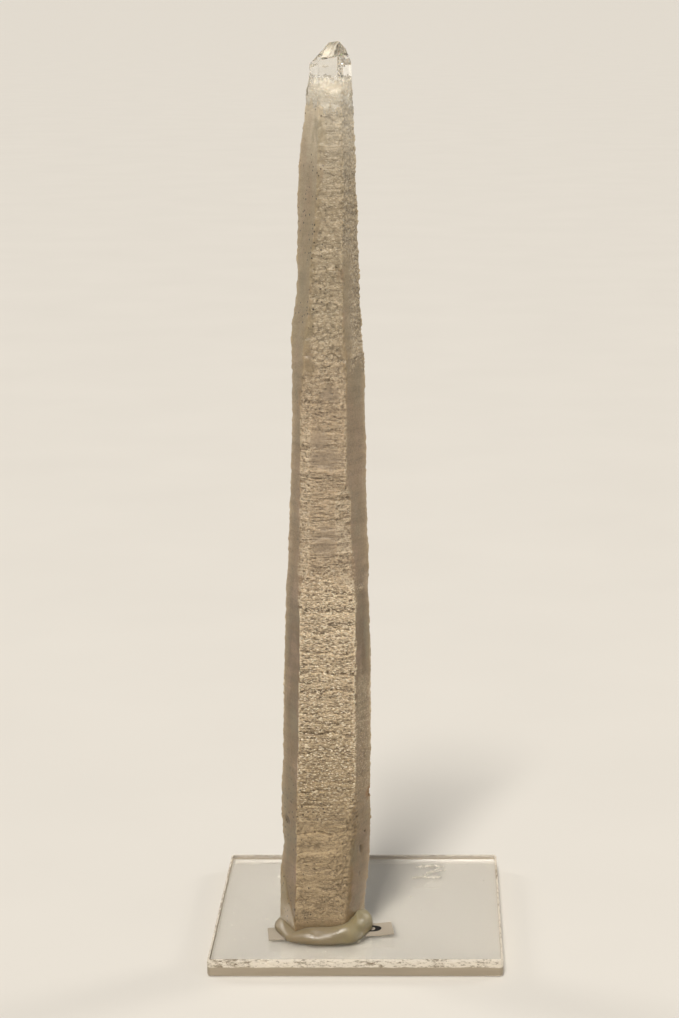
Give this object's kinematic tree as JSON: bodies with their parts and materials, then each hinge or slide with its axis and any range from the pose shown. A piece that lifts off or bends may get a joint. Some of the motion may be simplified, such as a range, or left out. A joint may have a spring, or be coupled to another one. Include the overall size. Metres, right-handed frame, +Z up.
{
  "type": "mounted quartz crystal",
  "caption": "Tall slender quartz crystal with a pointed clear tip, standing in mounting putty on a square clear plate with a paper label under its foot.",
  "frame": {"origin": "middle of the base plate's underside, where the object rests", "axes": "+Z up along the crystal, -Y towards the front where the crystal's broad striated face looks, +X to the viewer's right"},
  "size_m": [0.05, 0.05, 0.1545],
  "materials": {
    "quartz": "frosted milky quartz with a clear tip",
    "putty": "translucent cream mounting putty",
    "acrylic": "clear polished acrylic",
    "paper": "off-white paper with a plain ink ring"
  },
  "bodies": {
    "root": {"quartz_crystal": "quartz", "mounting_putty": "putty", "acrylic_base": "acrylic", "paper_label": "paper"}
  },
  "joints": []
}
